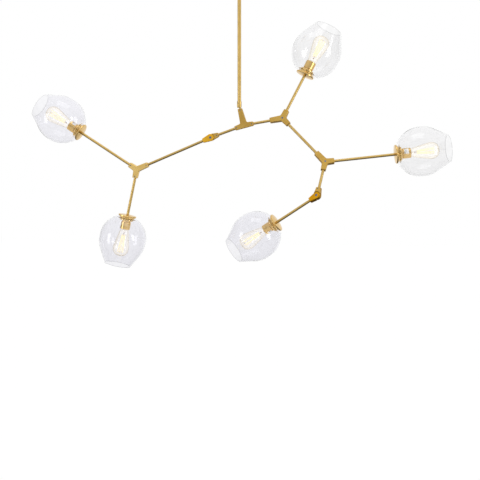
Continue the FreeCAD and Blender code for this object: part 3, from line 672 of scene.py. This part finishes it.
# The bulb's glass stem: a hollow flare sealed into the neck, a pinch round the pressed core, and
# a rod with two buttons, each placed by its middle
glassStem = {
    "footGap": 0.003, "footRadius": 0.0107, "footRounding": 0.0002, "wall": 0.0006, "waistRadius": 0.006634,
    "waistRounding": 0.012, "pinchStart": 0.0585, "pinchStartRadius": 0.0024, "pinchStartRounding": 0.004,
    "pinchEnd": 0.0640, "pinchEndRadius": 0.0018, "pinchEndRounding": 0.003, "hollowGap": 0.003,
    "rodRadius": 0.0009, "rodRounding": 0.001, "lowerButton": 0.0665, "lowerFlank": 0.0025,
    "lowerFlankRadius": 0.00117, "lowerHalf": 0.001, "lowerRadius": 0.00252, "lowerRounding": 0.0006,
    "upperButton": 0.1285, "upperFlank": 0.003, "upperBelow": 0.0012, "upperBelowRadius": 0.00234,
    "upperBelowRounding": 0.0008, "upperAbove": 0.0006, "upperAboveRadius": 0.00198,
    "upperAboveRounding": 0.0006, "upperTip": 0.0012, "arcStep": 12.0, "segments": 32,
    "coreRadius": 0.0014, "coreEndRadius": 0.00084, "coreRounding": 0.0004, "coreArcStep": 20.0,
    "coreSegments": 16,
}


def buildStems(s, e):
    foot = e["neckStart"] + s["footGap"]
    lower = s["lowerButton"]
    upper = s["upperButton"]
    outer = [
        (foot, s["footRadius"], s["footRounding"]),
        (e["neckEnd"], s["waistRadius"], s["waistRounding"]),
        (s["pinchStart"], s["pinchStartRadius"], s["pinchStartRounding"]),
        (s["pinchEnd"], s["pinchEndRadius"], s["pinchEndRounding"]),
        (lower - s["lowerFlank"], s["lowerFlankRadius"], s["rodRounding"]),
        (lower - s["lowerHalf"], s["lowerRadius"], s["lowerRounding"]),
        (lower + s["lowerHalf"], s["lowerRadius"], s["lowerRounding"]),
        (lower + s["lowerFlank"], s["rodRadius"], s["rodRounding"]),
        (upper - s["upperFlank"], s["rodRadius"], s["rodRounding"]),
        (upper - s["upperBelow"], s["upperBelowRadius"], s["upperBelowRounding"]),
        (upper + s["upperAbove"], s["upperAboveRadius"], s["upperAboveRounding"]),
        (upper + s["upperTip"], 0, 0),
    ]
    inner = [
        (s["pinchStart"] - s["hollowGap"], 0, 0),
        (e["neckEnd"], s["waistRadius"] - s["wall"], s["waistRounding"]),
        (foot, s["footRadius"] - s["wall"], s["footRounding"]),
    ]
    stem = roundedOutline(outer + inner, s["arcStep"])
    core = roundedOutline([
        (s["pinchStart"], 0, 0), (s["pinchStart"], s["coreRadius"], s["coreRounding"]),
        (s["pinchEnd"], s["coreEndRadius"], s["coreRounding"]), (s["pinchEnd"], 0, 0),
    ], s["coreArcStep"])
    for body, (side, numbers) in lampsOfBodies.items():
        stems = turnedInLamps(numbers, stem, s["segments"])
        cores = turnedInLamps(numbers, core, s["coreSegments"])
        finishedPiece(side + "_bulb_stems", stems, "stemGlass", body)
        finishedPiece(side + "_stem_presses", cores, "glassPress", body)
    print("glass stems and presses ready")


# Filament cage: a ring of legs that lean outwards from the lower hooks to the upper ones
cage = {
    "legs": 6, "firstAngle": 30.0, "footDistance": 0.067, "tipDistance": 0.128, "footRadius": 0.005,
    "tipRadius": 0.0105, "wireRadius": 0.00038, "wireSides": 10, "hookRadius": 0.00025, "hookSides": 6,
}


# Node group for the filaments of one bulb: one straight leg, repeated round the axis
def cageTree():
    group = bpy.data.node_groups.new("filamentCage", "GeometryNodeTree")
    group.interface.new_socket("Geometry", in_out="OUTPUT", socket_type="NodeSocketGeometry")
    for name in ("Legs", "Wire Sides"):
        group.interface.new_socket(name, in_out="INPUT", socket_type="NodeSocketInt")
    for name in ("Foot Distance", "Tip Distance", "Foot Radius", "Tip Radius", "Wire Radius"):
        group.interface.new_socket(name, in_out="INPUT", socket_type="NodeSocketFloat")
    group.interface.new_socket("Finish", in_out="INPUT", socket_type="NodeSocketMaterial")
    given = addNode(group, "NodeGroupInput").outputs

    foot = addNode(group, "ShaderNodeCombineXYZ", {"X": given["Foot Distance"], "Y": given["Foot Radius"]})
    tip = addNode(group, "ShaderNodeCombineXYZ", {"X": given["Tip Distance"], "Y": given["Tip Radius"]})
    line = addNode(group, "GeometryNodeCurvePrimitiveLine", {"Start": foot.outputs[0], "End": tip.outputs[0]})
    circle = addNode(group, "GeometryNodeCurvePrimitiveCircle", {
        "Resolution": given["Wire Sides"], "Radius": given["Wire Radius"],
    })
    wire = addNode(group, "GeometryNodeCurveToMesh", {
        "Curve": line.outputs[0], "Profile Curve": circle.outputs[0],
    }, {"Fill Caps": True})

    step = addNode(group, "ShaderNodeMath", {1: given["Legs"]}, {0: 2 * math.pi}, operation="DIVIDE")
    index = addNode(group, "GeometryNodeInputIndex")
    angle = addNode(group, "ShaderNodeMath", {0: index.outputs[0], 1: step.outputs[0]}, operation="MULTIPLY")
    spin = addNode(group, "ShaderNodeCombineXYZ", {"X": angle.outputs[0]})
    spots = addNode(group, "GeometryNodePoints", {"Count": given["Legs"]})
    repeated = addNode(group, "GeometryNodeInstanceOnPoints", {
        "Points": spots.outputs[0], "Instance": wire.outputs[0], "Rotation": spin.outputs[0],
    })
    realized = addNode(group, "GeometryNodeRealizeInstances", {0: repeated.outputs[0]})
    painted = addNode(group, "GeometryNodeSetMaterial", {
        "Geometry": realized.outputs[0], "Material": given["Finish"],
    })
    addNode(group, "NodeGroupOutput", {0: painted.outputs[0]})
    return group


def socketNamed(group, name):
    return next(item.identifier for item in group.interface.items_tree if item.name == name)


# The node group's result as a plain mesh in the lamp's own frame
def meshOfTree(group, settings):
    carrier = newObject("carrier", bpy.data.meshes.new("carrier"))
    modifier = carrier.modifiers.new("tree", "NODES")
    modifier.node_group = group
    for name, value in settings.items():
        modifier[socketNamed(group, name)] = value
    bpy.context.view_layer.update()
    mesh = bpy.data.meshes.new_from_object(carrier.evaluated_get(bpy.context.evaluated_depsgraph_get()))
    carrier.modifiers.remove(modifier)
    bpy.data.objects.remove(carrier)
    return mesh


def buildCages(c):
    mesh = meshOfTree(cageTree(), {
        "Legs": c["legs"], "Wire Sides": c["wireSides"], "Foot Distance": c["footDistance"],
        "Tip Distance": c["tipDistance"], "Foot Radius": c["footRadius"], "Tip Radius": c["tipRadius"],
        "Wire Radius": c["wireRadius"], "Finish": finishes["glowingWire"],
    })
    for body, (side, numbers) in lampsOfBodies.items():
        shape = bmesh.new()
        for number in numbers:
            copy = mesh.copy()
            copy.transform(lampFrames[number] @ turn(c["firstAngle"], "X"))
            shape.from_mesh(copy)
            bpy.data.meshes.remove(copy)
        finishedPiece(
            side + "_filament_cages", shape, "glowingWire", body,
            [nodeOf(side, "bulb_filament", numbers)],
        )
    print("filaments:", c["legs"], "legs in each bulb")


# Support wires from the stem's two buttons to both ends of each filament leg
def buildSupports(c):
    for body, (side, numbers) in lampsOfBodies.items():
        wires = bmesh.new()
        for number in numbers:
            for leg in range(c["legs"]):
                spoke = turn(c["firstAngle"] + 360 * leg / c["legs"], "X") @ turn(90)
                for end in ("foot", "tip"):
                    reach = c[end + "Radius"]
                    outline = [
                        Vector((0, 0)), Vector((0, c["hookRadius"])), Vector((reach, c["hookRadius"])),
                        Vector((reach, 0)),
                    ]
                    place = lampFrames[number] @ along(c[end + "Distance"]) @ spoke
                    turnedMesh(wires, outline, c["hookSides"], place)
        finishedPiece(side + "_filament_hooks", wires, "capNickel", body)
    print("filament supports ready")


buildGlobes(globeGlass)
buildCups(cups)
buildEnvelopes(envelope)
buildCaps(screwCap, envelope)
buildStems(glassStem, envelope)
buildCages(cage)
buildSupports(cage)

# Studio: two tall soft boxes, a low ceiling of light, a surround for the metal, a pale floor and
# the camera. The surround's marks are (way, level): around goes from the front at 0 to the back
# at 1, overhead and below from straight down at 0 to straight up at 1.
studio = {
    "boxes": {
        "leftBox": {"at": (-3.56, -2.23, -0.45), "aim": (0, 0, -0.55), "size": (1.1, 2.2), "watts": 26},
        "rightBox": {"at": (3.81, -1.77, -0.45), "aim": (0, 0, -0.55), "size": (1.1, 2.2), "watts": 34},
        "topBox": {"at": (0.0, -0.4, 1.9), "aim": (0, 0, -0.6), "size": (1.8, 1.2), "watts": 8},
    },
    "around": ((0.0, 0.78), (0.22, 0.78), (0.50, 0.60), (0.82, 0.60), (0.91, 1.0)),
    "overhead": ((0.0, 0.0), (0.66, 0.0), (0.80, 1.0)),
    "below": ((0.0, 0.20), (0.18, 0.20), (0.34, 1.0)),
    "topLevel": 1.0, "fillLevel": 0.60,
    "floorSize": 30.0, "floorHeight": -2.3, "floorTone": 0.9, "floorRoughness": 0.7, "floorWhite": 1.05,
    "floorWhiteShare": 0.90,
    "cameraFrom": (0.5209, -2.941, -0.6224), "azimuth": 10.0, "elevation": 5.0, "fieldOfView": 30.0,
    "sensorWidth": 36.0, "sightEnd": 60.0,
}


# The camera and the lights look along their own -z
def lookingAlong(way):
    return way.to_track_quat("-Z", "Y").to_euler()


def buildBoxes(s):
    for name, box in s["boxes"].items():
        lamp = bpy.data.lights.new(name, "AREA")
        lamp.shape = "RECTANGLE"
        lamp.size, lamp.size_y = box["size"]
        lamp.energy = box["watts"]
        holder = newObject(name, lamp)
        holder.location = box["at"]
        holder.rotation_euler = lookingAlong(Vector(box["aim"]) - Vector(box["at"]))


# 1 where the camera looks, straight or through glass, and 0 for all other light
def seenDirectly(tree, path):
    seen = addNode(
        tree, "ShaderNodeMath", {0: path["Is Camera Ray"], 1: path["Is Transmission Ray"]},
        operation="MAXIMUM",
    )
    return seen.outputs[0]


def plainLight(tree, kind, level):
    return addNode(tree, kind, values={"Color": (*grey(1), 1), "Strength": level}).outputs[0]


# Plain white for the camera, an even fill for the lighting, and for metal a surround that is
# darker in front, at the sides and below
def buildSurround(s):
    world = bpy.context.scene.world or bpy.data.worlds.new("surround")
    bpy.context.scene.world = world
    world.use_nodes = True
    tree = world.node_tree
    tree.nodes.clear()
    path = addNode(tree, "ShaderNodeLightPath").outputs
    where = addNode(tree, "ShaderNodeTexCoord").outputs["Generated"]
    ways = addNode(tree, "ShaderNodeSeparateXYZ", {"Vector": where}).outputs

    def from0to1(source):
        spread = addNode(tree, "ShaderNodeMapRange", {"Value": source}, {"From Min": -1.0, "From Max": 1.0})
        return spread.outputs["Result"]

    around = greyRamp(tree, from0to1(ways["Y"]), s["around"])
    overhead = greyRamp(tree, from0to1(ways["Z"]), s["overhead"])
    below = greyRamp(tree, from0to1(ways["Z"]), s["below"])
    upper = addNode(
        tree, "ShaderNodeMix", {"Factor": overhead, 6: around}, {7: (*grey(s["topLevel"]), 1)},
        data_type="RGBA",
    )
    toned = multiplied(tree, upper.outputs[2], below)
    seenByMetal = addNode(tree, "ShaderNodeBackground", {"Color": toned}, {"Strength": 1.0})
    white = plainLight(tree, "ShaderNodeBackground", 1.0)
    fill = plainLight(tree, "ShaderNodeBackground", s["fillLevel"])
    reflected = addNode(
        tree, "ShaderNodeMath", {0: path["Glossy Depth"]}, {1: 0.5}, operation="GREATER_THAN",
    )
    direct = addNode(tree, "ShaderNodeMixShader", {0: seenDirectly(tree, path), 1: fill, 2: white})
    whole = addNode(tree, "ShaderNodeMixShader", {
        0: reflected.outputs[0], 1: direct.outputs[0], 2: seenByMetal.outputs[0],
    })
    addNode(tree, "ShaderNodeOutputWorld", {"Surface": whole.outputs[0]})


# The floor shows white to the camera and keeps a faint shadow
def buildFloor(s):
    bpy.ops.mesh.primitive_plane_add(size=s["floorSize"], location=(0, 0, s["floorHeight"]))
    floor = bpy.context.object
    floor.name = "floor"
    paint, tree, shader = newFinish("floorPaint", {
        "Base Color": (*grey(s["floorTone"]), 1), "Roughness": s["floorRoughness"],
    })
    path = addNode(tree, "ShaderNodeLightPath").outputs
    white = plainLight(tree, "ShaderNodeEmission", s["floorWhite"])
    share = addNode(
        tree, "ShaderNodeMath", {0: seenDirectly(tree, path)}, {1: s["floorWhiteShare"]},
        operation="MULTIPLY",
    )
    mixed = addNode(tree, "ShaderNodeMixShader", {0: share.outputs[0], 1: shader.outputs[0], 2: white})
    tree.links.new(mixed.outputs[0], tree.nodes["Material Output"].inputs["Surface"])
    floor.data.materials.append(paint)
    floor.visible_glossy = False


def buildCamera(s):
    camera = bpy.data.cameras.new("photoCamera")
    camera.sensor_width = s["sensorWidth"]
    camera.lens = s["sensorWidth"] / 2 / math.tan(math.radians(s["fieldOfView"] / 2))
    camera.clip_end = s["sightEnd"]
    azimuth = math.radians(s["azimuth"])
    elevation = math.radians(s["elevation"])
    holder = newObject("photoCamera", camera)
    holder.location = s["cameraFrom"]
    level = math.cos(elevation)
    way = Vector((-math.sin(azimuth) * level, math.cos(azimuth) * level, -math.sin(elevation)))
    holder.rotation_euler = lookingAlong(way)
    bpy.context.scene.camera = holder
    bpy.context.scene.view_settings.view_transform = "Standard"


buildBoxes(studio)
buildSurround(studio)
buildFloor(studio)
buildCamera(studio)
print("studio ready")
